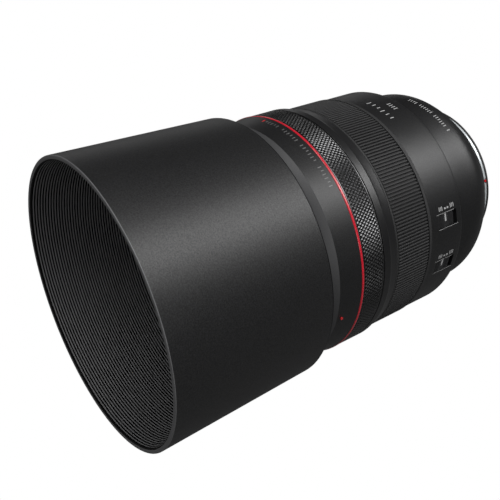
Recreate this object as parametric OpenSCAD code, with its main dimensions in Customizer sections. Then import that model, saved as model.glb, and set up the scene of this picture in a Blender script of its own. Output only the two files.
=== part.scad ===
// Fast telephoto prime lens with its hood: a bayonet-mount lens, built as separate pieces.
// Every piece is drawn with the optical axis up: z = 0 is the rear face of the mount flange
// and +z runs towards the subject. lens_frame() then lays the axis along -Y, with +Z up.
// An angle on the barrel is measured from the top towards +X.

/* [Barrel] */
// Diameter of the rear barrel
barrel_d = 100; // [94:0.5:124]
// How far the focus ring stands proud of the barrel
focus_proud = 0.4; // [0:0.1:1.5]
// How far the control ring and the front barrel stand proud of the barrel
ring_proud = 1.6; // [1:0.1:3]
// Wall of the outer shells
shell_wall = 1.6; // [1.2:0.1:2.2]
// Wall of the main barrel that carries the rings
main_wall = 1.8; // [1.4:0.1:2.4]
// Thickness of the focus ring and its grip, from the main barrel out to the shell's line
ring_depth = 3.8; // [3.4:0.1:5]

/* [Lengths along the axis] */
// Thickness of the mount flange
mount_t = 3.1; // [2.4:0.1:4]
// Length of the tapered rear cover
cover_len = 34.2; // [30:0.1:42]
// Length of the rear barrel, with the switches
rear_len = 18.5; // [17:0.1:24]
// Length of the rubber focus ring
focus_len = 20.5; // [16:0.1:26]
// Length of the smooth band between the two rings
band_len = 7.7; // [5:0.1:12]
// Length of the knurled control ring
control_len = 10.8; // [7:0.1:15]
// Length of the red ring
red_len = 1.1; // [0.8:0.1:2.5]
// Length of the front barrel
front_len = 9.8; // [7:0.1:14]
// Length of the chamfer in front of the front barrel
cone_len = 5.5; // [3:0.1:8]
// Length of the nose that carries the hood's bayonet
nose_len = 6.1; // [5.2:0.1:9]

/* [Mount] */
// Diameter of the mount flange
flange_d = 69.2; // [64:0.1:76]
// Outer diameter of the bayonet spigot
spigot_d = 54; // [52:0.1:56]
// Wall of the bayonet spigot
spigot_wall = 1.4; // [1:0.1:2]
// Length of the bayonet spigot behind the flange
spigot_len = 6; // [5:0.1:8]
// How far the three bayonet lugs stand out
lug_out = 1.4; // [1:0.1:2]
// How far the rubber seal stands out from the flange
seal_out = 0.3; // [0.1:0.1:1]
// Radius of a mount screw's head
screw_r = 1.3; // [1:0.1:1.6]

/* [Hood] */
// Length of the hood in front of its rear edge
hood_len = 68.2; // [50:0.1:82]
// How far the hood's rear edge stands proud of the barrel
hood_proud = 4.9; // [4:0.1:8]
// How much further out the mouth is than the rear edge
hood_flare = 2.1; // [0:0.1:12]
// Wall of the hood
hood_wall = 2; // [1.5:0.1:2.6]
// How far the hood's collar reaches back over the nose
hood_overlap = 4.6; // [4.2:0.1:5]
// Radius of the rounded rear edge
hood_round = 0.6; // [0.3:0.1:2]
// Travel of the lock button
button_travel = 1.2; // [0.8:0.1:1.6]

/* [Front] */
// Radius of the filter thread
filter_r = 41; // [38.5:0.5:43]
// Depth of the filter thread
filter_depth = 5; // [4:0.1:6]

/* [Switches] */
// Length of a switch window
window_len = 11; // [8:0.1:13]
// Width of a switch window around the barrel
window_w = 6.1; // [4:0.1:7.5]
// Travel of a switch knob
knob_travel = 1.7; // [1:0.1:2.5]
// How far a knob sits below the barrel's surface
knob_sunk = 0.35; // [0:0.05:0.8]
// Angle of the focus mode switch
mode_angle = 74; // [60:1:84]
// Angle of the focus limiter switch
limit_angle = 98; // [94:1:115]

/* [Focus drive] */
// Travel of the focus group
focus_travel = 6; // [4:0.1:7]
// Turn of the cam ring over the whole travel
cam_turn = 48; // [36:1:60]
// Radius of a cam roller
roller_r = 1.5; // [1:0.1:1.8]

/* [Aperture] */
// Radius of the open aperture
stop_r = 27.5; // [24:0.1:28]
// Width of a blade
blade_w = 6.8; // [5.5:0.1:7]
// Thickness of a blade
blade_t = 0.12; // [0.08:0.01:0.14]
// Distance between blade layers
layer = 0.22; // [0.2:0.01:0.26]
// Turn of a blade from wide open to fully stopped down
blade_turn = 42; // [30:1:42]
// Turn of the drive ring over the same range
drive_turn = 30; // [26:1:32]

/* [Fits] */
// Radial clearance of a running fit
run_gap = 0.07; // [0.03:0.01:0.1]
// Gap between a turning ring and its neighbours
side_gap = 0.2; // [0.1:0.05:0.4]
// Clearance around a sliding knob or a pin in a slot
slide_gap = 0.15; // [0.1:0.01:0.3]

/* [Hidden] */
$fn = 96;
eps = 0.01;

// Stations along the axis, from the mount forwards
cover_z = mount_t + cover_len;
rear_z = cover_z + rear_len;
focus_z = rear_z + focus_len;
band_z = focus_z + band_len;
control_z = band_z + control_len;
red_z = control_z + red_len;
front_z = red_z + front_len;
cone_z = front_z + cone_len;
nose_z = cone_z + nose_len;
hood_rear_z = nose_z - hood_overlap;
hood_front_z = hood_rear_z + hood_len;

// Radii, from the outside in
barrel_r = barrel_d / 2;
proud_r = barrel_r + ring_proud;
shell_in_r = barrel_r - shell_wall;
main_r = barrel_r - ring_depth;
main_in_r = main_r - main_wall;
cam_r = main_in_r - 1.6;
cam_wall = 1.8;
inner_r = cam_r - cam_wall - run_gap;
inner_wall = 1.5;
group_r = inner_r - inner_wall;
nose_r = barrel_r - 3.4;
collar_r = nose_r + run_gap;

// The rear cover: a soft shoulder, a shallow waist and the step up to the rear barrel
cover_foot_r = flange_d / 2 + 0.5;
shoulder_r = barrel_r - 8.7;
crest_r = barrel_r - 4.8;
waist_r = barrel_r - 6.6;
shoulder_at = 0.24;
crest_at = 0.5;
waist_at = 0.86;
cover_wall = 1.6;

// Glass: [back vertex, front vertex, radius, back curvature radius, front curvature radius]
// in millimetres, where a negative curvature radius is a hollow face and 0 is flat. The stations
// count from the nose, the carrier and the mount, and a front element's radius is how much
// smaller it is than the filter thread.
front_set = [
    [-14.2, -6.2, 2.8, -260, 92],
    [-22.4, -15.6, 4.4, -400, 110],
    [-29.8, -23.4, 6.6, -300, 95],
    [-31.8, -29.82, 6.6, -90, 300],
    [-40.8, -31.82, 6.6, 600, 90],
    [-45.2, -42, 10.6, 0, 260]];
focus_set = [
    [16.6, 18.58, 24.83, -70, 160],
    [18.6, 24.6, 24.83, -160, 70],
    [9.6, 14.6, 24.63, -200, 90],
    [5, 8.6, 24.03, -90, 110],
    [0.2, 4.98, 24.03, 400, 90]];
rear_set = [
    [20, 27.4, 24, 105, 78],
    [8.4, 15.6, 23, 66, 240]];
cell_wall = 1.6;
cell_step = 1.4;
land_grip = 0.17;

// The focus drive
carrier_back = 7.9;
carrier_z = cover_z - carrier_back;
carrier_len = 25.2;
roller_z = carrier_z + 11.5;
cam_z0 = roller_z - 5;
cam_z1 = roller_z + focus_travel + 5;
roller_out = cam_r - 0.2;
slot_r = roller_r + slide_gap;
rotor_z = cam_z1 - 4.6;
rotor_t = 6;
stator_z = rotor_z + rotor_t + 0.05;
stator_t = 6;

// The aperture unit
blades = 9;
stop_z = nose_z - 52.8;
plate_t = 1.2;
blade_z = stop_z + plate_t + 0.2;
drive_z = blade_z + blades * layer + 0.15;
drive_t = 1;
stop_cover_z = drive_z + drive_t + 0.25;
stop_cover_t = 1;
pivot_r = stop_r + blade_w + 2.3;
pivot_pin = 0.5;
ear_r = 1.7;
drive_arm = 4.5;
drive_pin = 0.5;
cup_r = pivot_r + ear_r + 0.35;
drive_out_r = cup_r - run_gap;

// The hood's bayonet and its lock
hood_lug = 1;
hood_lug_w = 30;
hood_groove_z = nose_z - 3.4;
hood_groove_t = 1.6;
hood_turn = 60;
lock_angle = 180;
button_r = 4;
button_depth = 5;
spring_r = 1.8;
spring_wire = 0.4;

window_z0 = cover_z + 3.3;
knob_len = window_len - knob_travel - 2 * slide_gap;
knob_lip = 1;
knob_lip_t = 0.9;

module lens_frame() rotate([90, 0, 0]) children();
module at_angle(a) rotate([0, 0, -a]) children();

// A ring between two radii and two stations
module ring(outer, inner, z0, z1) {
    translate([0, 0, z0]) difference() {
        cylinder(r = outer, h = z1 - z0);
        translate([0, 0, -1]) cylinder(r = inner, h = z1 - z0 + 2);
    }
}

// A turned piece from its outline of [radius, station] points
module turned(outline) rotate_extrude() polygon(outline);

// A sector of a ring, centred on the top
module sector(outer, inner, z0, z1, width) {
    reach = outer * 1.2;
    intersection() {
        ring(outer, inner, z0, z1);
        translate([0, 0, z0 - 1]) linear_extrude(z1 - z0 + 2) polygon([[0, 0],
            reach * [sin(-width / 2), cos(width / 2)], [0, reach * 1.3],
            reach * [sin(width / 2), cos(width / 2)]]);
    }
}

// One lens element; a face bulges when its curvature radius is positive
module element(z0, z1, r, back, front) {
    overshoot = 12;
    difference() {
        intersection() {
            translate([0, 0, z0 - (back < 0 ? overshoot : 0)])
                cylinder(r = r, h = z1 - z0 + (back < 0 ? overshoot : 0) + (front < 0 ? overshoot : 0));
            if (front > 0) translate([0, 0, z1 - front]) sphere(r = front, $fn = 360);
            if (back > 0) translate([0, 0, z0 + back]) sphere(r = back, $fn = 360);
        }
        if (front < 0) translate([0, 0, z1 - front]) sphere(r = -front, $fn = 360);
        if (back < 0) translate([0, 0, z0 + back]) sphere(r = -back, $fn = 360);
    }
}

function front_glass(i) = let (g = front_set[i])
    [nose_z + g[0], nose_z + g[1], filter_r - g[2], g[3], g[4]];
function focus_glass(i) = let (g = focus_set[i])
    [carrier_z + g[0], carrier_z + g[1], g[2], g[3], g[4]];
module glass(g, tint) color(tint, 0.4) lens_frame() element(g[0], g[1], g[2], g[3], g[4]);

// Where a face meets its element's edge
function sag(r, curve) = curve == 0 ? 0 : sign(curve) * (abs(curve) - sqrt(curve * curve - r * r));
function edge_back(g) = g[0] + sag(g[2], g[3]);
function edge_front(g) = g[1] - sag(g[2], g[4]);
// Where a shoulder that starts at radius r meets the back or the front of an element
function seat_back(g, r) = g[3] > 0 ? g[0] + sag(r, g[3]) - 0.01 : edge_back(g);
function seat_front(g, r) = g[4] > 0 ? g[1] - sag(r, g[4]) + 0.02 : edge_front(g);

function cover_r(t) = t < shoulder_at ? cover_foot_r + (shoulder_r - cover_foot_r) * t / shoulder_at
    : t < crest_at ? shoulder_r + (crest_r - shoulder_r) * sin(90 * (t - shoulder_at) / (crest_at - shoulder_at))
    : t < waist_at ? crest_r + (waist_r - crest_r) * (1 - cos(180 * (t - crest_at) / (waist_at - crest_at))) / 2
    : waist_r + (barrel_r - waist_r) * (1 - cos(90 * (t - waist_at) / (1 - waist_at)));

// ---------- mount ----------
mount_screw_angles = [20, 105, 165, 250, 320];
screw_circle_r = (flange_d / 2 + spigot_d / 2) / 2;

module mount_ring() color("silver") lens_frame() {
    difference() {
        ring(flange_d / 2, spigot_d / 2 - spigot_wall, 0, mount_t);
        for (a = mount_screw_angles) at_angle(a) translate([0, screw_circle_r, -1]) {
            cylinder(r = screw_r + 0.1, h = 1 + mount_t * 0.5, $fn = 32);
            cylinder(r = screw_r * 0.6, h = mount_t + 2, $fn = 32);
        }
        at_angle(300) translate([0, screw_circle_r + 0.6, -1]) cylinder(r = 0.9, h = 2.4, $fn = 32);
        at_angle(mount_dot_angle) translate([0, flange_d / 2 - 0.6, mount_t / 2]) rotate([-90, 0, 0])
            cylinder(r = mount_dot_r, h = 2, $fn = 32);
    }
    ring(spigot_d / 2, spigot_d / 2 - spigot_wall, -spigot_len, 0);
    for (a = [0, 120, 240]) at_angle(a + 35)
        sector(spigot_d / 2 + lug_out, spigot_d / 2 - eps, -spigot_len, -spigot_len + 1.7, 52);
}

module mount_screws() color("dimgray") lens_frame() for (a = mount_screw_angles)
    at_angle(a) translate([0, screw_circle_r, 0]) difference() {
        union() {
            translate([0, 0, 0.15]) cylinder(r = screw_r, h = mount_t * 0.5 - 0.15, $fn = 32);
            cylinder(r = screw_r * 0.6, h = mount_t + 1.6, $fn = 32);
        }
        for (turn = [0, 90]) rotate(turn) translate([-0.9, -0.18, -1]) cube([1.8, 0.36, 1.7]);
    }

mount_dot_angle = 69.9;
mount_dot_r = 1.1;
module mount_index_dot() color("red") lens_frame() at_angle(mount_dot_angle)
    translate([0, flange_d / 2 - 0.6, mount_t / 2]) rotate([-90, 0, 0])
        cylinder(r = mount_dot_r, h = 0.55, $fn = 32);

module mount_seal() color("black") lens_frame()
    ring(flange_d / 2 + seal_out, flange_d / 2 + 0.02, mount_t * 0.1, mount_t * 0.4);

block_r = spigot_d / 2 - spigot_wall;
module contact_block() color("#222222") lens_frame() at_angle(180)
    sector(block_r, block_r - 2.2, -spigot_len + 1.2, mount_t, 108);

module contact_pins() color("gold") lens_frame() for (i = [0:11])
    at_angle(180 - 46 + i * 92 / 11) translate([0, block_r - 1.1, -spigot_len + 0.7])
        cylinder(r = 0.6, h = 0.5, $fn = 32);

baffle_t = 1.6;
module rear_baffle() color("#181818") lens_frame() translate([0, 0, mount_t]) difference() {
    cylinder(r = block_r + 0.8, h = baffle_t);
    translate([-19, -14, -1]) cube([38, 28, baffle_t + 2]);
}

// ---------- barrel ----------
module rear_cover() color("#2b2c2e") lens_frame() difference() {
    turned(concat([[block_r + 1, mount_t]],
        [for (i = [0:36]) [cover_r(i / 36), mount_t + cover_len * i / 36]],
        [[barrel_r - cover_wall - 3, cover_z]],
        [for (i = [34:-1:3]) [cover_r(i / 36) - cover_wall - 0.5, mount_t + cover_len * i / 36]],
        [[cover_foot_r - 1.2, mount_t + 2], [block_r + 1, mount_t + 2]]));
    for (a = mount_screw_angles) at_angle(a) translate([0, screw_circle_r, 0])
        cylinder(r = screw_r * 0.6, h = mount_t + 1.6, $fn = 32);
}

module switch_window(angle) at_angle(angle) translate([-window_w / 2, shell_in_r - 3, window_z0])
    cube([window_w, 10, window_len]);

module rear_barrel() color("#2b2c2e") lens_frame() difference() {
    turned([[shell_in_r, cover_z], [barrel_r - 0.3, cover_z], [barrel_r, cover_z + 0.3],
        [barrel_r, rear_z - 0.3], [barrel_r - 0.3, rear_z], [shell_in_r, rear_z]]);
    switch_window(mode_angle);
    switch_window(limit_angle);
}

disc_t = 2;
module main_barrel() color("#5a5c60") lens_frame() {
    ring(main_r, main_in_r, cover_z, front_z);
    ring(shell_in_r, main_r - eps, cover_z, cover_z + disc_t);
    ring(shell_in_r, main_r - eps, rear_z - disc_t, rear_z);
    ring(main_in_r + eps, inner_r, stator_z + stator_t, stator_z + stator_t + 1.5);
}

inner_z0 = 24;
// The inner barrel ends in a land that the front cell stands on
cell_land = 1;
land_z = stop_cover_z + stop_cover_t;
module inner_barrel() color("#6b6d70") lens_frame() difference() {
    union() {
        ring(inner_r, group_r, inner_z0, land_z + cell_land);
        ring(inner_r, min(group_r, filter_r - cell_step - land_grip), land_z, land_z + cell_land);
    }
    for (a = [0, 120, 240]) at_angle(a) {
        for (z = [roller_z, roller_z + focus_travel]) translate([0, group_r - 2, z])
            rotate([-90, 0, 0]) cylinder(r = slot_r, h = 8, $fn = 32);
        translate([-slot_r, group_r - 2, roller_z]) cube([2 * slot_r, 8, focus_travel]);
    }
}

module circuit_board() color("darkgreen") lens_frame() difference() {
    union() {
        ring(cover_foot_r + 2, rear_set[0][2] + cell_wall, 16, 17.2);
        for (a = [30:40:330]) at_angle(a) translate([-2.6, rear_set[0][2] + 4, 17.2 - eps])
            cube([5.2, 4.4, 1.4]);
    }
    for (a = [0, 120, 240]) at_angle(a + 10) translate([0, cover_foot_r - 2, 15])
        cylinder(r = 1.1, h = 6, $fn = 32);
}

module band_ring() color("#3a3b3e") lens_frame() turned([[main_r, focus_z], [barrel_r + 0.6, focus_z],
    [barrel_r + 0.8, focus_z + 0.2], [barrel_r + 1.15, focus_z + 3.4], [proud_r, focus_z + 4.8],
    [proud_r, band_z - 0.2], [proud_r - 0.2, band_z], [main_r, band_z]]);

module red_ring() color("#c8202c") lens_frame() turned([[main_r, control_z], [proud_r - 0.1, control_z],
    [proud_r + 0.1, control_z + 0.25], [proud_r + 0.1, red_z - 0.25], [proud_r - 0.1, red_z],
    [main_r, red_z]]);

module front_barrel() color("#2b2c2e") lens_frame() difference() {
    turned([[main_r, red_z], [proud_r - 0.1, red_z], [proud_r, red_z + 0.2],
        [barrel_r + 0.5, front_z - 0.3], [barrel_r + 0.2, front_z], [main_r, front_z]]);
    hood_dot(0.1);
}

hood_dot_angle = 100.3;
module hood_dot(grow) at_angle(hood_dot_angle) translate([0, proud_r - 1.1, front_z - 1.9])
    rotate([-90, 0, 0]) cylinder(r = 0.7 + grow, h = grow > 0 ? 3 : 0.95, $fn = 32);
module hood_index_dot() color("red") lens_frame() hood_dot(0);

// The front ring: chamfer, nose with the hood's bayonet groove, and the filter thread inside
module front_ring() color("#4a4b4e") lens_frame() difference() {
    turned([[cell_out_r, front_z], [barrel_r + 0.2, front_z], [nose_r + 0.4, cone_z],
        [nose_r, cone_z + 0.1], [nose_r, nose_z - 0.3], [nose_r - 0.3, nose_z], [filter_r, nose_z],
        [filter_r, nose_z - filter_depth], [cell_out_r, nose_z - filter_depth]]);
    ring(nose_r + 1, nose_r - hood_lug - 0.3, hood_groove_z, hood_groove_z + hood_groove_t);
    for (a = [0, 120, 240]) at_angle(a + hood_turn)
        sector(nose_r + 1, nose_r - hood_lug - 0.3, hood_groove_z + eps, nose_z + 1, hood_lug_w + 6);
}

// The front cell: one stepped tube with a shoulder behind each fixed front element
cell_out_r = filter_r - cell_step;
cell_front_z = nose_z - filter_depth;
module front_cell() color("#1d1e20") lens_frame() difference() {
    ring(cell_out_r, front_glass(5)[2] - 1, stop_cover_z + stop_cover_t + 1, cell_front_z);
    for (i = [0:5]) translate([0, 0, seat_back(front_glass(i), front_glass(min(i + 1, 5))[2] - (i < 5 ? 0 : 1))])
        cylinder(r = front_glass(i)[2], h = cell_front_z);
}

module retaining_ring() color("#1d1e20") lens_frame() {
    r = front_glass(0)[2];
    turned([[r - 1.2, seat_front(front_glass(0), r - 1.2)], [r, edge_front(front_glass(0))],
        [r, cell_front_z - 0.2], [r - 0.4, cell_front_z - 0.2], [r - 1.2, cell_front_z - 1.4]]);
}

module front_element() glass(front_glass(0), "#6a5a9a");
module element_02() glass(front_glass(1), "lightblue");
module element_03() glass(front_glass(2), "lightblue");
module element_04() glass(front_glass(3), "plum");
module element_05() glass(front_glass(4), "lightblue");
module element_06() glass(front_glass(5), "lightblue");

// ---------- aperture ----------
module aperture_base() color("#202124") lens_frame() difference() {
    union() {
        ring(group_r, stop_r, stop_z, stop_z + plate_t);
        ring(group_r, cup_r, stop_z, stop_cover_z);
    }
    for (i = [0:blades - 1]) at_angle(i * 360 / blades) translate([0, pivot_r, stop_z - 1])
        cylinder(r = pivot_pin + run_gap, h = plate_t + 2, $fn = 32);
}

module aperture_cover() color("#202124") lens_frame()
    ring(group_r, stop_r + 1, stop_cover_z, stop_cover_z + stop_cover_t);

module aperture_motor() color("gray") lens_frame() at_angle(200)
    translate([0, (stop_r + group_r) / 2 + 0.4, stop_z - 3.2]) cylinder(r = 3, h = 3.2, $fn = 48);

// The drive pin's centre at a blade turn, seen from the drive ring
ratio = blade_turn / drive_turn;
function pin_base(turn) = [-drive_arm * cos(turn), pivot_r - drive_arm * sin(turn)];
function turn_by(p, a) = [p[0] * cos(a) - p[1] * sin(a), p[0] * sin(a) + p[1] * cos(a)];
function pin_path(turn) = turn_by(pin_base(turn), -turn / ratio);
function unit(v) = v / norm(v);
function path_side(turn, w) = let (d = unit(pin_path(turn + 0.5) - pin_path(turn - 0.5)))
    pin_path(turn) + w * [-d[1], d[0]];
slot_steps = 12;
module drive_slot(w) {
    linear_extrude(drive_t + 2) polygon(concat(
        [for (i = [0:slot_steps]) path_side(blade_turn * i / slot_steps, w)],
        [for (i = [slot_steps:-1:0]) path_side(blade_turn * i / slot_steps, -w)]));
    for (turn = [0, blade_turn]) translate(pin_path(turn)) cylinder(r = w, h = drive_t + 2, $fn = 32);
}

module aperture_ring() color("#8a8d92") lens_frame() difference() {
    ring(drive_out_r, pivot_r - drive_arm - 1.2, drive_z, drive_z + drive_t);
    for (i = [0:blades - 1]) at_angle(i * 360 / blades) translate([0, 0, drive_z - 1])
        drive_slot(drive_pin + slide_gap);
}

blade_span = 108;
module blade(i) color("#101114") lens_frame() at_angle(i * 360 / blades) {
    z = blade_z + i * layer;
    difference() {
        ring(stop_r + blade_w, stop_r + 0.1, z, z + blade_t);
        // keeps the span on the far side of the pivot only
        translate([0, 0, z - 1]) linear_extrude(3) polygon([[0, 0], [0, 60], [60, 60], [60, -60],
            60 * [-sin(blade_span), cos(blade_span)] + [0, -60],
            60 * [-sin(blade_span), cos(blade_span)]]);
    }
    // the ear that carries both pins
    translate([0, pivot_r, z]) cylinder(r = ear_r, h = blade_t, $fn = 48);
    translate([-drive_arm, pivot_r, z]) cylinder(r = ear_r - 0.3, h = blade_t, $fn = 48);
    translate([-drive_arm - 1, stop_r + 1.5, z]) cube([drive_arm + 1, pivot_r - stop_r - 1.5, blade_t]);
    translate([0, pivot_r, stop_z + 0.1]) cylinder(r = pivot_pin, h = z + blade_t - stop_z - 0.1, $fn = 32);
    translate([-drive_arm, pivot_r, z]) cylinder(r = drive_pin, h = drive_z + drive_t - z, $fn = 32);
}
module blade_1() blade(0);
module blade_2() blade(1);
module blade_3() blade(2);
module blade_4() blade(3);
module blade_5() blade(4);
module blade_6() blade(5);
module blade_7() blade(6);
module blade_8() blade(7);
module blade_9() blade(8);

// ---------- focus drive ----------
module usm_stator() color("#9a7a40") lens_frame() difference() {
    ring(main_in_r, cam_r + 0.2, stator_z, stator_z + stator_t);
    for (a = [0:15:345]) at_angle(a) translate([-0.3, cam_r - 1, stator_z - 1]) cube([0.6, 10, 2.6]);
}

module usm_rotor() color("silver") lens_frame()
    ring(main_in_r - 0.3, cam_r, rotor_z, rotor_z + rotor_t);

module wave_spring() color("lightgray") lens_frame()
    ring(main_in_r, cam_r + 0.4, rotor_z - 1.6, rotor_z - 0.8);

cam_steps = 3;
module cam_slot() {
    step = cam_turn / cam_steps;
    mid_r = cam_r - cam_wall / 2;
    rise = focus_travel / cam_steps;
    chord = 2 * mid_r * sin(step / 2);
    for (i = [0:cam_steps - 1]) rotate([0, 0, -(i + 0.5) * step])
        translate([0, mid_r, roller_z + (i + 0.5) * rise])
            rotate([0, -atan(rise / chord), 0])
                translate([-norm([chord, rise]) / 2 - 0.15, -3, -slot_r])
                    cube([norm([chord, rise]) + 0.3, 6, 2 * slot_r]);
    for (i = [0, 1]) rotate([0, 0, -i * cam_turn]) translate([0, mid_r - 3, roller_z + i * focus_travel])
        rotate([-90, 0, 0]) cylinder(r = slot_r + 0.02, h = 6, $fn = 32);
}

module cam_ring() color("#b08a3c") lens_frame() difference() {
    ring(cam_r, inner_r + run_gap, cam_z0, cam_z1);
    for (a = [0, 120, 240]) at_angle(a) cam_slot();
}

carrier_r = group_r - run_gap;
carrier_wall = 2.4;
// A disc across the carrier, bored for one cemented group
module carrier_cell(rear, front) {
    z0 = edge_back(rear);
    z1 = edge_front(front);
    ring(carrier_r - carrier_wall + eps, rear[2], z0, z1);
}

module focus_carrier() color("#1d1e20") lens_frame() difference() {
    union() {
        ring(carrier_r, carrier_r - carrier_wall, carrier_z, carrier_z + carrier_len);
        carrier_cell(focus_glass(0), focus_glass(1));
        carrier_cell(focus_glass(2), focus_glass(2));
        carrier_cell(focus_glass(4), focus_glass(3));
    }
    for (a = [0, 120, 240]) at_angle(a) translate([0, carrier_r - carrier_wall - 0.5, roller_z])
        rotate([-90, 0, 0]) cylinder(r = roller_r * 0.6, h = 8, $fn = 32);
}

module focus_rollers() color("silver") lens_frame() for (a = [0, 120, 240]) at_angle(a)
    translate([0, carrier_r - carrier_wall, roller_z]) rotate([-90, 0, 0]) {
        cylinder(r = roller_r * 0.6, h = carrier_wall + 0.2, $fn = 32);
        translate([0, 0, carrier_wall]) cylinder(r = roller_r, h = roller_out - carrier_r, $fn = 48);
    }

module element_07() glass(focus_glass(0), "plum");
module element_08() glass(focus_glass(1), "lightblue");
module element_09() glass(focus_glass(2), "lightblue");
module element_10() glass(focus_glass(3), "lightblue");
module element_11() glass(focus_glass(4), "plum");

// ---------- fixed rear group ----------
module rear_cell() color("#1d1e20") lens_frame() {
    r12 = rear_set[0][2];
    r13 = rear_set[1][2];
    z12 = seat_back(rear_set[0], r13);
    z13 = seat_back(rear_set[1], r13 - 1);
    turned([[r13 - 1, mount_t + baffle_t], [r12 + cell_wall, mount_t + baffle_t],
        [r12 + cell_wall, inner_z0], [group_r, inner_z0], [group_r, inner_z0 + 1.6],
        [r12, inner_z0 + 1.6], [r12, z12], [r13, z12], [r13, z13], [r13 - 1, z13]]);
}
module element_12() glass(rear_set[0], "lightblue");
module rear_element() glass(rear_set[1], "#6a5a9a");

// ---------- rings ----------
core_t = 2;
focus_z0 = rear_z + side_gap;
focus_z1 = focus_z - side_gap;
module focus_ring_core() color("#3a3b3e") lens_frame()
    ring(main_r + run_gap + core_t, main_r + run_gap, focus_z0, focus_z1);

// The rubber grip, with a smooth strip at each end and a shallow land for its ribs
module focus_grip() color("#232426") lens_frame() turned([[main_r + run_gap + core_t, focus_z0],
    [barrel_r + focus_proud - 0.4, focus_z0], [barrel_r + focus_proud, focus_z0 + 0.4],
    [barrel_r + focus_proud, focus_z1 - 0.4], [barrel_r + focus_proud - 0.4, focus_z1],
    [main_r + run_gap + core_t, focus_z1]]);

module control_ring() color("#5c5d60") lens_frame() turned([[main_r + run_gap, band_z + side_gap],
    [proud_r - 0.35, band_z + side_gap], [proud_r, band_z + side_gap + 0.35],
    [proud_r, control_z - side_gap - 0.35], [proud_r - 0.35, control_z - side_gap],
    [main_r + run_gap, control_z - side_gap]]);

// ---------- hood ----------
hood_rear_r = barrel_r + hood_proud;
hood_mouth_r = hood_rear_r + hood_flare;
floor_t = 3.4;
function hood_out(z) = hood_rear_r + (hood_mouth_r - hood_rear_r) * (z - hood_rear_z) / hood_len;

module hood_shell() color("#303133") lens_frame() {
    difference() {
        union() {
            turned(concat([[collar_r, hood_rear_z]],
                [for (a = [0:15:90]) [hood_rear_r - hood_round * (1 - sin(a)), hood_rear_z + hood_round * (1 - cos(a))]],
                [[hood_mouth_r, hood_front_z - 0.5], [hood_mouth_r - 0.5, hood_front_z],
                [hood_mouth_r - hood_wall, hood_front_z],
                [hood_out(hood_rear_z + floor_t) - hood_wall, hood_rear_z + floor_t],
                [collar_r, hood_rear_z + floor_t]]));
            for (a = [0, 120, 240]) at_angle(a)
                sector(collar_r + 1, nose_r - hood_lug, hood_groove_z + 0.15,
                    hood_groove_z + hood_groove_t - 0.15, hood_lug_w);
            at_angle(lock_angle) lock_housing();
        }
        at_angle(lock_angle) translate([0, lock_floor_r, lock_z]) rotate([-90, 0, 0])
            cylinder(r = button_r + slide_gap, h = 20, $fn = 64);
    }
}

// The lock button sits in a boss just in front of the hood's floor
lock_z = hood_rear_z + floor_t + button_r + 2.2;
lock_floor_r = hood_out(lock_z) - hood_wall - button_depth;
module lock_housing() intersection() {
    translate([0, lock_floor_r - 1.2, lock_z]) rotate([-90, 0, 0])
        cylinder(r = button_r + 1.6, h = 12, $fn = 64);
    cylinder(r = hood_out(lock_z) - 0.4, h = hood_front_z);
}

module hood_button() color("#3c3d40") lens_frame() at_angle(lock_angle) {
    top_r = hood_out(lock_z) + 0.2;
    difference() {
        intersection() {
            translate([0, lock_floor_r + button_travel + 0.6, lock_z]) rotate([-90, 0, 0])
                cylinder(r = button_r, h = 20, $fn = 64);
            cylinder(r = top_r, h = hood_front_z);
        }
        translate([0, lock_floor_r, lock_z]) rotate([-90, 0, 0])
            cylinder(r = spring_r + spring_wire + 0.4, h = button_travel + 0.6 + 1.8, $fn = 48);
    }
}

// The spring's coils, from the boss floor to the pocket in the button
module hood_spring() color("silver") lens_frame() at_angle(lock_angle) {
    top = button_travel + 0.6 + 1.8;
    for (i = [0:3]) translate([0, lock_floor_r + spring_wire + (top - 2 * spring_wire) * i / 3, lock_z])
        rotate([-90, 0, 0]) rotate_extrude() translate([spring_r, 0]) circle(r = spring_wire, $fn = 24);
}

// ---------- switches ----------
module knob(angle) color("#1b1c1e") lens_frame() at_angle(angle) {
    z1 = window_z0 + window_len - slide_gap;
    z0 = z1 - knob_len;
    w = window_w - 2 * slide_gap;
    intersection() {
        union() {
            translate([-w / 2, main_r, z0]) cube([w, 10, knob_len]);
            translate([-w / 2 - knob_lip, main_r, z0 - knob_lip])
                cube([w + 2 * knob_lip, shell_in_r - main_r - 0.75, knob_len + 2 * knob_lip]);
        }
        difference() {
            ring(barrel_r - knob_sunk, main_r + 0.3, z0 - 5, z1 + 5);
            for (i = [-2:2]) translate([-10, barrel_r - knob_sunk - 0.3, (z0 + z1) / 2 + i * 1.5 - 0.25])
                cube([20, 3, 0.5]);
        }
    }
}
module mode_knob() knob(mode_angle);
module limiter_knob() knob(limit_angle);

mount_ring();
mount_screws();
mount_index_dot();
mount_seal();
contact_block();
contact_pins();
rear_baffle();
rear_cover();
rear_barrel();
main_barrel();
inner_barrel();
circuit_board();
band_ring();
red_ring();
front_barrel();
hood_index_dot();
front_ring();
front_cell();
retaining_ring();
front_element();
element_02();
element_03();
element_04();
element_05();
element_06();
aperture_base();
aperture_cover();
aperture_motor();
usm_stator();
wave_spring();
rear_cell();
element_12();
rear_element();
focus_ring_core();
focus_grip();
control_ring();
hood_shell();
hood_button();
hood_spring();
mode_knob();
limiter_knob();
cam_ring();
usm_rotor();
focus_carrier();
focus_rollers();
element_07();
element_08();
element_09();
element_10();
element_11();
aperture_ring();
blade_1();
blade_2();
blade_3();
blade_4();
blade_5();
blade_6();
blade_7();
blade_8();
blade_9();
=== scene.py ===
import math

import bmesh
import bpy
from mathutils import Matrix, Vector


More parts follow.
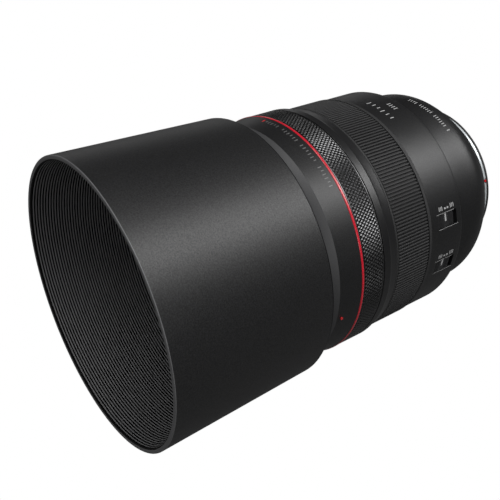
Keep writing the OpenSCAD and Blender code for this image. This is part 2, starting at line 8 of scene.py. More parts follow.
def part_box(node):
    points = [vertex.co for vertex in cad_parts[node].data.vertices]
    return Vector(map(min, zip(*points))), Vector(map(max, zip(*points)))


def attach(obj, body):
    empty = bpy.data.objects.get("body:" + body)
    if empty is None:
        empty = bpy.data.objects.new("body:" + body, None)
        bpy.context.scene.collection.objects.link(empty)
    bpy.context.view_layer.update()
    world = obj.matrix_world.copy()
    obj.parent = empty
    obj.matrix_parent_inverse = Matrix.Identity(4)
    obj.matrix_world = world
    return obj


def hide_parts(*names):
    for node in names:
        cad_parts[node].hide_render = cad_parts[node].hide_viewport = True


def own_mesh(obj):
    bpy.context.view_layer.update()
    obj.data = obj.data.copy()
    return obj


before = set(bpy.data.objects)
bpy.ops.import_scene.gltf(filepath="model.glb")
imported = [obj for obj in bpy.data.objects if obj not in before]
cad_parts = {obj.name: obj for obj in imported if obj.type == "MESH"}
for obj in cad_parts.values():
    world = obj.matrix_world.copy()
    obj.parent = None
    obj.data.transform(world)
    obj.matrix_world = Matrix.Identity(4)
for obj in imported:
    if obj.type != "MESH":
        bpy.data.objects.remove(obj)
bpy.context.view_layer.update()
mm = 0.001
fullTurn = 2 * math.pi


# reading the frame: stations count forwards from the mount flange, along -Y
def frontOf(node):
    return -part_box(node)[0].y


def rearOf(node):
    return -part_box(node)[1].y


def radiusOf(node):
    low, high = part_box(node)
    return max(high.x, -low.x)


# shader groups
def socketIn(group, name, kind, value):
    group.interface.new_socket(name=name, in_out="INPUT", socket_type=kind).default_value = value


def makeGrainGroup():
    # a fine moulded or sprayed grain, with slow mottling in colour and gloss
    group = bpy.data.node_groups.new("surfaceGrain", "ShaderNodeTree")
    socketIn(group, "Color", "NodeSocketColor", (0.03, 0.03, 0.03, 1))
    socketIn(group, "Roughness", "NodeSocketFloat", 0.4)
    socketIn(group, "Grain Scale", "NodeSocketFloat", 2500)
    socketIn(group, "Grain Contrast", "NodeSocketFloat", 0.2)
    socketIn(group, "Mottle", "NodeSocketFloat", 0.1)
    for name, kind in (("Color", "Color"), ("Roughness", "Float"), ("Height", "Float"), ("Gain", "Float")):
        group.interface.new_socket(name=name, in_out="OUTPUT", socket_type="NodeSocket" + kind)
    nodes, links = group.nodes, group.links
    given = nodes.new("NodeGroupInput")
    out = nodes.new("NodeGroupOutput")
    coords = nodes.new("ShaderNodeTexCoord")
    grain = nodes.new("ShaderNodeTexNoise")
    grain.inputs["Detail"].default_value = 2
    grain.inputs["Roughness"].default_value = 0.6
    slow = nodes.new("ShaderNodeTexNoise")
    slow.inputs["Scale"].default_value = 55
    slow.inputs["Detail"].default_value = 3
    links.new(coords.outputs["Object"], grain.inputs["Vector"])
    links.new(coords.outputs["Object"], slow.inputs["Vector"])
    links.new(given.outputs["Grain Scale"], grain.inputs["Scale"])

    def spread(source, amount):
        # 1 + 4 * amount * (noise - 0.5), so the noise lightens and darkens evenly
        centred = nodes.new("ShaderNodeMath")
        centred.operation = "SUBTRACT"
        centred.inputs[1].default_value = 0.5
        links.new(source, centred.inputs[0])
        scaled = nodes.new("ShaderNodeMath")
        scaled.operation = "MULTIPLY"
        links.new(centred.outputs[0], scaled.inputs[0])
        links.new(amount, scaled.inputs[1])
        shifted = nodes.new("ShaderNodeMath")
        shifted.operation = "MULTIPLY_ADD"
        shifted.inputs[1].default_value = 4
        shifted.inputs[2].default_value = 1
        links.new(scaled.outputs[0], shifted.inputs[0])
        return shifted.outputs[0]

    grainGain = spread(grain.outputs["Fac"], given.outputs["Grain Contrast"])
    slowGain = spread(slow.outputs["Fac"], given.outputs["Mottle"])
    both = nodes.new("ShaderNodeMath")
    both.operation = "MULTIPLY"
    links.new(grainGain, both.inputs[0])
    links.new(slowGain, both.inputs[1])
    tint = nodes.new("ShaderNodeVectorMath")
    tint.operation = "SCALE"
    links.new(given.outputs["Color"], tint.inputs[0])
    links.new(both.outputs[0], tint.inputs["Scale"])
    gloss = nodes.new("ShaderNodeMath")
    gloss.operation = "MULTIPLY"
    gloss.use_clamp = True
    links.new(given.outputs["Roughness"], gloss.inputs[0])
    links.new(slowGain, gloss.inputs[1])
    links.new(tint.outputs[0], out.inputs["Color"])
    links.new(gloss.outputs[0], out.inputs["Roughness"])
    links.new(grain.outputs["Fac"], out.inputs["Height"])
    links.new(grainGain, out.inputs["Gain"])
    return group


def makeTurnedGroup():
    # fine rings left by turning, which run round the optical axis
    group = bpy.data.node_groups.new("turnedRings", "ShaderNodeTree")
    socketIn(group, "Roughness", "NodeSocketFloat", 0.25)
    socketIn(group, "Ring Scale", "NodeSocketFloat", 4000)
    socketIn(group, "Spread", "NodeSocketFloat", 0.3)
    for name in ("Roughness", "Height"):
        group.interface.new_socket(name=name, in_out="OUTPUT", socket_type="NodeSocketFloat")
    nodes, links = group.nodes, group.links
    given = nodes.new("NodeGroupInput")
    out = nodes.new("NodeGroupOutput")
    coords = nodes.new("ShaderNodeTexCoord")
    split = nodes.new("ShaderNodeSeparateXYZ")
    links.new(coords.outputs["Object"], split.inputs[0])
    distance = nodes.new("ShaderNodeCombineXYZ")
    links.new(split.outputs["X"], distance.inputs["X"])
    links.new(split.outputs["Z"], distance.inputs["Y"])
    length = nodes.new("ShaderNodeVectorMath")
    length.operation = "LENGTH"
    links.new(distance.outputs[0], length.inputs[0])
    ringPlace = nodes.new("ShaderNodeCombineXYZ")
    links.new(length.outputs["Value"], ringPlace.inputs["X"])
    links.new(split.outputs["Y"], ringPlace.inputs["Y"])
    noise = nodes.new("ShaderNodeTexNoise")
    noise.inputs["Detail"].default_value = 2
    links.new(ringPlace.outputs[0], noise.inputs["Vector"])
    links.new(given.outputs["Ring Scale"], noise.inputs["Scale"])
    centred = nodes.new("ShaderNodeMath")
    centred.operation = "SUBTRACT"
    centred.inputs[1].default_value = 0.5
    links.new(noise.outputs["Fac"], centred.inputs[0])
    swing = nodes.new("ShaderNodeMath")
    swing.operation = "MULTIPLY"
    links.new(centred.outputs[0], swing.inputs[0])
    links.new(given.outputs["Spread"], swing.inputs[1])
    total = nodes.new("ShaderNodeMath")
    total.operation = "ADD"
    total.use_clamp = True
    links.new(swing.outputs[0], total.inputs[0])
    links.new(given.outputs["Roughness"], total.inputs[1])
    links.new(total.outputs[0], out.inputs["Roughness"])
    links.new(noise.outputs["Fac"], out.inputs["Height"])
    return group


grainGroup = makeGrainGroup()
turnedGroup = makeTurnedGroup()


# materials
def startMaterial(name):
    material = bpy.data.materials.new(name)
    material.use_nodes = True
    nodes, links = material.node_tree.nodes, material.node_tree.links
    nodes.clear()
    out = nodes.new("ShaderNodeOutputMaterial")
    shader = nodes.new("ShaderNodeBsdfPrincipled")
    links.new(shader.outputs[0], out.inputs["Surface"])
    return material, nodes, links, shader


def grainedFinish(name, look):
    material, nodes, links, shader = startMaterial(name)
    grain = nodes.new("ShaderNodeGroup")
    grain.node_tree = grainGroup
    grain.inputs["Color"].default_value = (*look["color"], 1)
    grain.inputs["Roughness"].default_value = look["roughness"]
    grain.inputs["Grain Scale"].default_value = look["grainScale"]
    grain.inputs["Grain Contrast"].default_value = look["contrast"]
    grain.inputs["Mottle"].default_value = look["mottle"]
    links.new(grain.outputs["Color"], shader.inputs["Base Color"])
    links.new(grain.outputs["Roughness"], shader.inputs["Roughness"])
    bump = nodes.new("ShaderNodeBump")
    bump.inputs["Strength"].default_value = look["bump"]
    bump.inputs["Distance"].default_value = look["depth"]
    links.new(grain.outputs["Height"], bump.inputs["Height"])
    links.new(bump.outputs[0], shader.inputs["Normal"])
    shader.inputs["Metallic"].default_value = look.get("metallic", 0)
    # the grain breaks up the highlight as well as the colour
    sparkle = nodes.new("ShaderNodeMath")
    sparkle.operation = "MULTIPLY"
    sparkle.inputs[1].default_value = look.get("specular", 0.5)
    links.new(grain.outputs["Gain"], sparkle.inputs[0])
    links.new(sparkle.outputs[0], shader.inputs["Specular IOR Level"])
    shader.inputs["Coat Weight"].default_value = look.get("coat", 0)
    shader.inputs["Coat Roughness"].default_value = look.get("coatRoughness", 0.1)
    return material


def turnedMetal(name, look):
    material, nodes, links, shader = startMaterial(name)
    rings = nodes.new("ShaderNodeGroup")
    rings.node_tree = turnedGroup
    rings.inputs["Roughness"].default_value = look["roughness"]
    rings.inputs["Ring Scale"].default_value = look["ringScale"]
    rings.inputs["Spread"].default_value = look["spread"]
    links.new(rings.outputs["Roughness"], shader.inputs["Roughness"])
    bump = nodes.new("ShaderNodeBump")
    bump.inputs["Strength"].default_value = look["bump"]
    bump.inputs["Distance"].default_value = 0.02 * mm
    links.new(rings.outputs["Height"], bump.inputs["Height"])
    links.new(bump.outputs[0], shader.inputs["Normal"])
    shader.inputs["Base Color"].default_value = (*look["color"], 1)
    shader.inputs["Metallic"].default_value = look.get("metallic", 1)
    return material


def coatedGlass(name, look):
    material, _, _, shader = startMaterial(name)
    shader.inputs["Base Color"].default_value = (*look["color"], 1)
    shader.inputs["Roughness"].default_value = 0
    shader.inputs["IOR"].default_value = look["ior"]
    shader.inputs["Transmission Weight"].default_value = 1
    shader.inputs["Thin Film Thickness"].default_value = look["film"]
    shader.inputs["Thin Film IOR"].default_value = 1.38
    return material


grained = {
    "hoodBlack": {"color": (0.011, 0.011, 0.0115), "roughness": 0.44, "grainScale": 2000, "contrast": 0.3,
                  "mottle": 0.02, "bump": 0.35, "depth": 0.08 * mm, "specular": 0.5},
    # painted light: a much lighter copy of the hood black for the rib crests inside the hood, standing in for
    # the light they catch
    "hoodRibsPaintedLight": {"color": (0.22, 0.22, 0.224), "roughness": 0.5, "grainScale": 3000, "contrast": 0.2,
                 "mottle": 0.03, "bump": 0.2, "depth": 0.05 * mm, "specular": 0.4},
    # painted light: a lighter copy of the hood black for the front rim, standing in for the light it catches
    "hoodRimPaintedLight": {"color": (0.13, 0.13, 0.133), "roughness": 0.42, "grainScale": 3000, "contrast": 0.15,
                "mottle": 0.05, "bump": 0.15, "depth": 0.04 * mm},
    # painted shade: a near-black finish laid in rib grooves, on knurl floors and along edges, where shadow
    # lines fall
    "paintedShade": {"color": (0.004, 0.004, 0.0042), "roughness": 0.6, "grainScale": 3000, "contrast": 0.2,
                    "mottle": 0.05, "bump": 0.1, "depth": 0.03 * mm, "specular": 0.2},
    "barrelPaint": {"color": (0.0095, 0.0095, 0.01), "roughness": 0.42, "grainScale": 2300, "contrast": 0.22,
                    "mottle": 0.02, "bump": 0.25, "depth": 0.06 * mm, "specular": 0.5},
    "frontGrey": {"color": (0.06, 0.06, 0.062), "roughness": 0.5, "grainScale": 3600, "contrast": 0.12,
                  "mottle": 0.03, "bump": 0.15, "depth": 0.04 * mm, "specular": 0.5},
    "bandSatin": {"color": (0.01, 0.01, 0.0105), "roughness": 0.36, "grainScale": 4200, "contrast": 0.08,
                  "mottle": 0.02, "bump": 0.1, "depth": 0.03 * mm, "specular": 0.5},
    "knurlMetal": {"color": (0.13, 0.13, 0.132), "metallic": 1, "roughness": 0.29, "grainScale": 3600,
                   "contrast": 0.2, "mottle": 0.08, "bump": 0.1, "depth": 0.02 * mm, "specular": 0.9},
    "gripRubber": {"color": (0.025, 0.025, 0.0255), "roughness": 0.62, "grainScale": 3200, "contrast": 0.25,
                   "mottle": 0.06, "bump": 0.3, "depth": 0.05 * mm, "specular": 0.4},
    "ringRed": {"color": (0.62, 0.012, 0.03), "roughness": 0.3, "grainScale": 1200, "contrast": 0.02,
                "mottle": 0.03, "bump": 0.02, "depth": 0.02 * mm, "specular": 0.5, "coat": 0.6,
                "coatRoughness": 0.18},
    "indexRed": {"color": (0.7, 0.015, 0.02), "roughness": 0.35, "grainScale": 2500, "contrast": 0.05,
                 "mottle": 0.05, "bump": 0.05, "depth": 0.02 * mm, "coat": 0.4},
    "markWhite": {"color": (0.42, 0.42, 0.42), "roughness": 0.5, "grainScale": 6000, "contrast": 0.15,
                  "mottle": 0.05, "bump": 0.1, "depth": 0.02 * mm},
    "markGrey": {"color": (0.14, 0.14, 0.14), "roughness": 0.5, "grainScale": 6000, "contrast": 0.15,
                 "mottle": 0.05, "bump": 0.1, "depth": 0.02 * mm},
    "knobBlack": {"color": (0.018, 0.018, 0.019), "roughness": 0.42, "grainScale": 4000, "contrast": 0.15,
                  "mottle": 0.03, "bump": 0.15, "depth": 0.03 * mm},
    # the inner parts' own black, also used as painted shade on the floor between the focus ring's ribs
    "innerBlackAndPaintedShade": {"color": (0.01, 0.01, 0.0105), "roughness": 0.6, "grainScale": 3000, "contrast": 0.15,
                   "mottle": 0.05, "bump": 0.2, "depth": 0.05 * mm, "specular": 0.3},
    "sealRubber": {"color": (0.015, 0.015, 0.015), "roughness": 0.7, "grainScale": 4000, "contrast": 0.2,
                   "mottle": 0.05, "bump": 0.2, "depth": 0.03 * mm},
    "blackenedSteel": {"color": (0.05, 0.05, 0.052), "roughness": 0.45, "grainScale": 5000, "contrast": 0.1,
                       "mottle": 0.1, "bump": 0.1, "depth": 0.01 * mm, "metallic": 0.7},
    "mouldedBlack": {"color": (0.06, 0.06, 0.063), "roughness": 0.5, "grainScale": 2600, "contrast": 0.15,
                     "mottle": 0.05, "bump": 0.2, "depth": 0.05 * mm},
    "boardGreen": {"color": (0.012, 0.1, 0.04), "roughness": 0.35, "grainScale": 900, "contrast": 0.4,
                   "mottle": 0.1, "bump": 0.15, "depth": 0.05 * mm, "coat": 0.3},
}
turned = {
    "mountSteel": {"color": (0.84, 0.89, 0.91), "roughness": 0.3, "ringScale": 5200, "spread": 0.2,
                   "bump": 0.2, "metallic": 0.5},
    "screwSteel": {"color": (0.5, 0.5, 0.51), "roughness": 0.3, "ringScale": 3000, "spread": 0.2,
                   "bump": 0.1},
    "contactGold": {"color": (0.85, 0.62, 0.25), "roughness": 0.2, "ringScale": 4000, "spread": 0.15,
                    "bump": 0.05},
    "driveBrass": {"color": (0.62, 0.46, 0.2), "roughness": 0.32, "ringScale": 2500, "spread": 0.3,
                   "bump": 0.2},
}
glasses = {
    "frontCoating": {"color": (1, 1, 1), "ior": 1.62, "film": 420},
    "innerCoating": {"color": (0.99, 1, 0.995), "ior": 1.58, "film": 300},
}
materials = {name: grainedFinish(name, look) for name, look in grained.items()}
materials.update({name: turnedMetal(name, look) for name, look in turned.items()})
materials.update({name: coatedGlass(name, look) for name, look in glasses.items()})
print("materials made:", len(materials))


# making pieces
def finishPiece(bm, name, finish, body, replaced=(), smoothAngle=40, weighted=True):
    # finish is one material's name, or a list that the faces' material_index counts through
    bmesh.ops.recalc_face_normals(bm, faces=bm.faces)
    mesh = bpy.data.meshes.new(name)
    bm.to_mesh(mesh)
    bm.free()
    piece = bpy.data.objects.new(name, mesh)
    bpy.context.scene.collection.objects.link(piece)
    for used in finish if isinstance(finish, list) else [finish]:
        mesh.materials.append(materials[used])
    mesh.shade_smooth()
    mesh.set_sharp_from_angle(angle=math.radians(smoothAngle))
    if weighted:
        normals = piece.modifiers.new("weightedNormals", "WEIGHTED_NORMAL")
        normals.keep_sharp = True
        normals.weight = 80
    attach(piece, body)
    if replaced:
        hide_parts(*replaced)
    return piece


def turnOutline(bm, corners, steps=256, phase=0):
    # corners are (radius, station) or (radius, station, bevel); the closed outline is spun round Y
    start = Matrix.Rotation(phase, 3, "Y")
    verts = [bm.verts.new(start @ Vector((0, -c[1], c[0]))) for c in corners]
    edges = [bm.edges.new((verts[i - 1], verts[i])) for i in range(len(verts))]
    bmesh.ops.spin(bm, geom=verts + edges, cent=(0, 0, 0), axis=(0, 1, 0), angle=fullTurn, steps=steps,
                   use_merge=True)
    for corner in [c for c in corners if len(c) > 2 and c[2]]:
        loop = [e for e in bm.edges if all(
            abs(math.hypot(v.co.x, v.co.z) - corner[0]) < 1e-6 and abs(v.co.y + corner[1]) < 1e-6
            for v in e.verts)]
        bmesh.ops.bevel(bm, geom=loop, offset=corner[2], offset_type="OFFSET", segments=3, profile=0.5,
                        affect="EDGES", material=-1)


def spinSolid(bm, corners, centreDegrees, widthDegrees, steps):
    # a closed (radius, station) outline swept through an angle round the optical axis
    first = Matrix.Rotation(math.radians(centreDegrees - widthDegrees / 2), 3, "Y")
    verts = [bm.verts.new(first @ Vector((0, -s, r))) for r, s in corners]
    face = bm.faces.new(verts)
    bmesh.ops.spin(bm, geom=[face, *face.edges, *face.verts], cent=(0, 0, 0), axis=(0, 1, 0),
                   angle=math.radians(widthDegrees), steps=steps, use_merge=False)


def copyRound(bm, geom, count):
    # copies geom count times in a full circle round the optical axis
    bmesh.ops.spin(bm, geom=geom, cent=(0, 0, 0), axis=(0, 1, 0), angle=fullTurn * (count - 1) / count,
                   steps=count - 1, use_duplicate=True)


def absorb(bm, other):
    # moves the geometry of other into bm
    mesh = bpy.data.meshes.new("part")
    other.to_mesh(mesh)
    other.free()
    bm.from_mesh(mesh)
    bpy.data.meshes.remove(mesh)


def paintFloorShade(bm, radius):
    # gives the second material, a painted shade, to the floor of a ring's pattern, where shade falls between
    # the raised shapes
    for face in bm.faces:
        face.material_index = 1 if abs(radialOf(face.calc_center_median()) - radius) < 0.05 * mm else 0


def stationOf(point):
    return -point.y


def radialOf(point):
    return math.hypot(point.x, point.z)


def degreesOf(point):
    return math.degrees(math.atan2(point.x, point.z)) % 360


# hood
hood = {"wall": 2 * mm, "rearBevel": 0.75 * mm, "rebate": 0.4 * mm, "rim": 1.4 * mm, "lipBevel": 0.4 * mm,
        "ribPitch": 1.145 * mm, "ribDepth": 0.75 * mm, "ribClear": 2 * mm, "lip": 0.5 * mm, "floor": 3.4 * mm,
        "rearR": 54.9 * mm, "collarR": 46.67 * mm}
hoodLug = {"angles": (0, 120, 240), "degrees": 30, "innerR": 45.6 * mm, "sink": 0.3 * mm,
           "back": 1.95 * mm, "length": 1.3 * mm}
hoodFront, hoodRear, mouthR = frontOf("hood_shell"), rearOf("hood_shell"), radiusOf("hood_shell")


def hoodOuter(station):
    return hood["rearR"] + (mouthR - hood["rearR"]) * (station - hoodRear) / (hoodFront - hoodRear)


# the lock button is at the bottom of the hood, in a boss that holds its spring
lock = {"buttonR": 4 * mm, "boreR": 4.15 * mm, "bossR": 5.6 * mm, "depth": 5 * mm, "bossFloor": 1.2 * mm,
        "bossSink": 0.9 * mm, "pocketR": 2.6 * mm, "pocket": 1.8 * mm, "travel": 1.2 * mm,
        "springR": 1.8 * mm, "wireR": 0.25 * mm, "turns": 4, "stepsPerTurn": 36}
lockStation = (frontOf("hood_button") + rearOf("hood_button")) / 2
lockOuter = hoodOuter(lockStation)
lockFloor = lockOuter - hood["wall"] - lock["depth"]


def inLockBore(point):
    aside = math.hypot(point.x, stationOf(point) - lockStation)
    return aside < lock["boreR"] + 0.05 * mm and -point.z > lockFloor - 0.1 * mm


def lockCylinder(bm, radius, inner, outer):
    # a cylinder on the button's axis, between two distances from the optical axis
    made = bmesh.ops.create_cone(bm, cap_ends=True, segments=64, radius1=radius, radius2=radius,
                                 depth=outer - inner)
    bmesh.ops.translate(bm, verts=made["verts"], vec=(0, -lockStation, -(inner + outer) / 2))


def combined(bm, tool, operation):
    # bm joined with, or cut by, tool
    pair = []
    for part in (bm, tool):
        bmesh.ops.recalc_face_normals(part, faces=part.faces)
        mesh = bpy.data.meshes.new("part")
        part.to_mesh(mesh)
        part.free()
        pair.append(bpy.data.objects.new("part", mesh))
        bpy.context.scene.collection.objects.link(pair[-1])
    change = pair[0].modifiers.new("change", "BOOLEAN")
    change.operation = operation
    change.solver = "EXACT"
    change.object = pair[1]
    depsgraph = bpy.context.evaluated_depsgraph_get()
    result = bmesh.new()
    result.from_mesh(pair[0].evaluated_get(depsgraph).to_mesh())
    for part in pair:
        bpy.data.meshes.remove(part.data)
    return result


def fitLock(bm):
    # the boss on the hood's inner wall, and the bore for the button through both
    boss = bmesh.new()
    lockCylinder(boss, lock["bossR"], lockFloor - lock["bossFloor"], lockOuter - lock["bossSink"])
    bm = combined(bm, boss, "UNION")
    bore = bmesh.new()
    lockCylinder(bore, lock["boreR"], lockFloor, lockOuter + 2 * mm)
    return combined(bm, bore, "DIFFERENCE")


def makeHood():
    floorTop = hoodRear + hood["floor"]
    corners = [(hood["collarR"], hoodRear, 0.2 * mm), (hood["rearR"] - hood["rebate"], hoodRear, 0.2 * mm),
               (hood["rearR"] - hood["rebate"], hoodRear + hood["rearBevel"]),
               (hoodOuter(hoodRear + hood["rearBevel"]), hoodRear + hood["rearBevel"], 0.1 * mm),
               (mouthR, hoodFront, hood["lipBevel"]),
               (mouthR - hood["rim"], hoodFront, 0.2 * mm),
               (hoodOuter(hoodFront) - hood["wall"], hoodFront - hood["lip"])]
    station = hoodFront - hood["lip"]
    while station - hood["ribPitch"] > floorTop + hood["ribClear"]:
        inner = hoodOuter(station) - hood["wall"]
        corners += [(inner + hood["ribDepth"], station - hood["ribPitch"] * 0.12),
                    (inner + hood["ribDepth"], station - hood["ribPitch"] * 0.42),
                    (inner, station - hood["ribPitch"] * 0.55), (inner, station - hood["ribPitch"])]
        station -= hood["ribPitch"]
    corners += [(hoodOuter(floorTop) - hood["wall"], floorTop), (hood["collarR"], floorTop, 0.3 * mm)]
    bm = bmesh.new()
    turnOutline(bm, corners)
    bm = fitLock(bm)
    for face in bm.faces:
        centre = face.calc_center_median()
        depth = hoodOuter(stationOf(centre)) - radialOf(centre)
        if inLockBore(centre):
            face.material_index = 0
        # painted light on the front rim
        elif stationOf(centre) > hoodFront - 0.3 * mm:
            face.material_index = 2
        # painted shade: a dark shadow line along the rear edge
        elif stationOf(centre) < hoodRear + hood["rearBevel"] + 0.12 * mm:
            face.material_index = 3
        # inside the wall: painted shade in the rib grooves and on the lip behind the rim, painted light on
        # the rib crests
        elif stationOf(centre) > hoodRear + 1 * mm and depth > hood["wall"] * 0.5:
            groove = depth < hood["wall"] - hood["ribDepth"] * 0.3
            face.material_index = 3 if groove or stationOf(centre) > hoodFront - hood["lip"] else 1
        else:
            face.material_index = 0
    finishPiece(bm, "hoodShell", ["hoodBlack", "hoodRibsPaintedLight", "hoodRimPaintedLight", "paintedShade"], "hood",
                ["hood_shell"], 28)
    # the bayonet lugs inside the collar
    lugFront = frontOf("front_ring") - hoodLug["back"]
    lugRear = lugFront - hoodLug["length"]
    outerR = hood["collarR"] + hoodLug["sink"]
    bm = bmesh.new()
    for centre in hoodLug["angles"]:
        spinSolid(bm, [(outerR, lugFront), (hoodLug["innerR"], lugFront), (hoodLug["innerR"], lugRear),
                       (outerR, lugRear)], centre, hoodLug["degrees"], 12)
    finishPiece(bm, "hoodLugs", "hoodBlack", "hood", weighted=False)


makeHood()
print("hood made")


def makeLock():
    low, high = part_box("hood_button")
    bm = bmesh.new()
    lockCylinder(bm, lock["buttonR"], -high.z, -low.z)
    caps = [f for f in bm.faces if len(f.verts) > 4]
    innerCaps = [f for f in caps if f.calc_center_median().z > (low.z + high.z) / 2]
    outerCaps = [f for f in caps if f not in innerCaps]
    bmesh.ops.inset_region(bm, faces=innerCaps, thickness=lock["buttonR"] - lock["pocketR"],
                           depth=-lock["pocket"])
    edge = [e for e in bm.edges if all(abs(v.co.z - low.z) < 1e-6 for v in e.verts)]
    bmesh.ops.inset_region(bm, faces=outerCaps, thickness=0.9 * mm, depth=-0.25 * mm)
    bmesh.ops.bevel(bm, geom=edge, offset=0.3 * mm, segments=3, profile=0.5, affect="EDGES", material=-1)
    finishPiece(bm, "hoodButton", "hoodBlack", "hood_button", ["hood_button"])
    # the spring, from the floor of the boss to the pocket in the button
    bm = bmesh.new()
    length = -high.z + lock["pocket"] - lockFloor
    bottom = -(lockFloor + lock["wireR"])
    wire = bmesh.ops.create_circle(bm, cap_ends=True, segments=10, radius=lock["wireR"])
    bmesh.ops.rotate(bm, verts=wire["verts"], cent=(0, 0, 0), matrix=Matrix.Rotation(math.pi / 2, 3, "X"))
    bmesh.ops.translate(bm, verts=wire["verts"], vec=(lock["springR"], -lockStation, bottom))
    steps = lock["stepsPerTurn"] * lock["turns"]
    bmesh.ops.spin(bm, geom=[*bm.verts, *bm.edges, *bm.faces], cent=(0, -lockStation, 0), axis=(0, 0, 1),
                   dvec=(0, 0, -(length - 2 * lock["wireR"]) / steps), angle=fullTurn * lock["turns"],
                   steps=steps)
    spring = finishPiece(bm, "hoodSpring", "screwSteel", "hood", ["hood_spring"])
    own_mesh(spring)


makeLock()
print("hood lock made")


# front ring: hood bayonet, chamfer and filter thread
nose = {"r": 46.6 * mm, "threadR": 41 * mm, "threadPitch": 0.75 * mm, "threadDepth": 0.4 * mm,
        "grooveR": 45.3 * mm, "seatR": 39.6 * mm, "filterDepth": 5 * mm, "cone": 6.1 * mm,
        "groove": (3.4 * mm, 1.8 * mm), "slots": (60, 180, 300), "slotHalf": 18}


def makeFrontRing():
    front, rear = frontOf("front_ring"), rearOf("front_ring")
    outer = radiusOf("front_ring")
    coneEnd = front - nose["cone"]
    grooveRear, grooveFront = (front - back for back in nose["groove"])
    corners = [(nose["seatR"], rear), (outer, rear),
               (nose["r"] + 0.4 * mm, coneEnd, 0.15 * mm), (nose["r"], coneEnd + 0.1 * mm),
               (nose["r"], grooveRear), (nose["grooveR"], grooveRear),
               (nose["grooveR"], grooveFront), (nose["r"], grooveFront),
               (nose["r"], front, 0.25 * mm), (nose["threadR"] + nose["threadDepth"], front, 0.2 * mm)]
    station = front - 0.4 * mm
    while station > front - nose["filterDepth"] + nose["threadPitch"]:
        corners += [(nose["threadR"], station - nose["threadPitch"] * 0.25),
                    (nose["threadR"] + nose["threadDepth"], station - nose["threadPitch"] * 0.75)]
        station -= nose["threadPitch"]
    corners += [(nose["threadR"], front - nose["filterDepth"]), (nose["seatR"], front - nose["filterDepth"])]
    bm = bmesh.new()
    turnOutline(bm, corners, 360)
    # the land in front of the groove is open at three places, for the hood's lugs
    for vert in bm.verts:
        off = min(abs(degreesOf(vert.co) - slot) for slot in nose["slots"])
        out = radialOf(vert.co)
        if off < nose["slotHalf"] and stationOf(vert.co) > grooveFront - 1e-6 and out > nose["grooveR"]:
            share = nose["grooveR"] / out
            vert.co.x, vert.co.z = vert.co.x * share, vert.co.z * share
    bmesh.ops.dissolve_degenerate(bm, edges=bm.edges, dist=1e-6)
    for face in bm.faces:
        centre = face.calc_center_median()
        cone = radialOf(centre) > nose["r"] - 0.1 * mm and stationOf(centre) < coneEnd + 1 * mm
        face.material_index = 0 if cone else 1
    finishPiece(bm, "frontRing", ["frontGrey", "barrelPaint"], "barrel", ["front_ring"], 30)


makeFrontRing()


# front barrel and the red ring, on the same core as the band
coreR = 46.3 * mm


def makeFrontBarrel():
    front, rear = frontOf("front_barrel"), rearOf("front_barrel")
    outer = radiusOf("front_barrel")
    bm = bmesh.new()
    turnOutline(bm, [(coreR, rear), (outer - 0.05 * mm, rear, 0.12 * mm), (outer - 1.4 * mm, front),
                     (coreR, front)])
    finishPiece(bm, "frontBarrel", "barrelPaint", "barrel", ["front_barrel"])
    front, rear, outer = frontOf("red_ring"), rearOf("red_ring"), radiusOf("red_ring")
    bm = bmesh.new()
    turnOutline(bm, [(coreR, rear), (outer, rear, 0.35 * mm), (outer, front, 0.35 * mm), (coreR, front)])
    finishPiece(bm, "redRing", "ringRed", "barrel", ["red_ring"])


makeFrontBarrel()
print("front barrel made")

# control ring: a diamond knurl between two smooth edges
knurl = {"around": 206, "rows": range(-3, 4), "pitch": 2.02 * mm, "height": 0.42 * mm, "peak": 0.21 * mm,
         "foot": 0.82, "top": 0.12, "edge": 0.55 * mm, "edgeSink": 0.15 * mm, "boreR": 46.27 * mm}


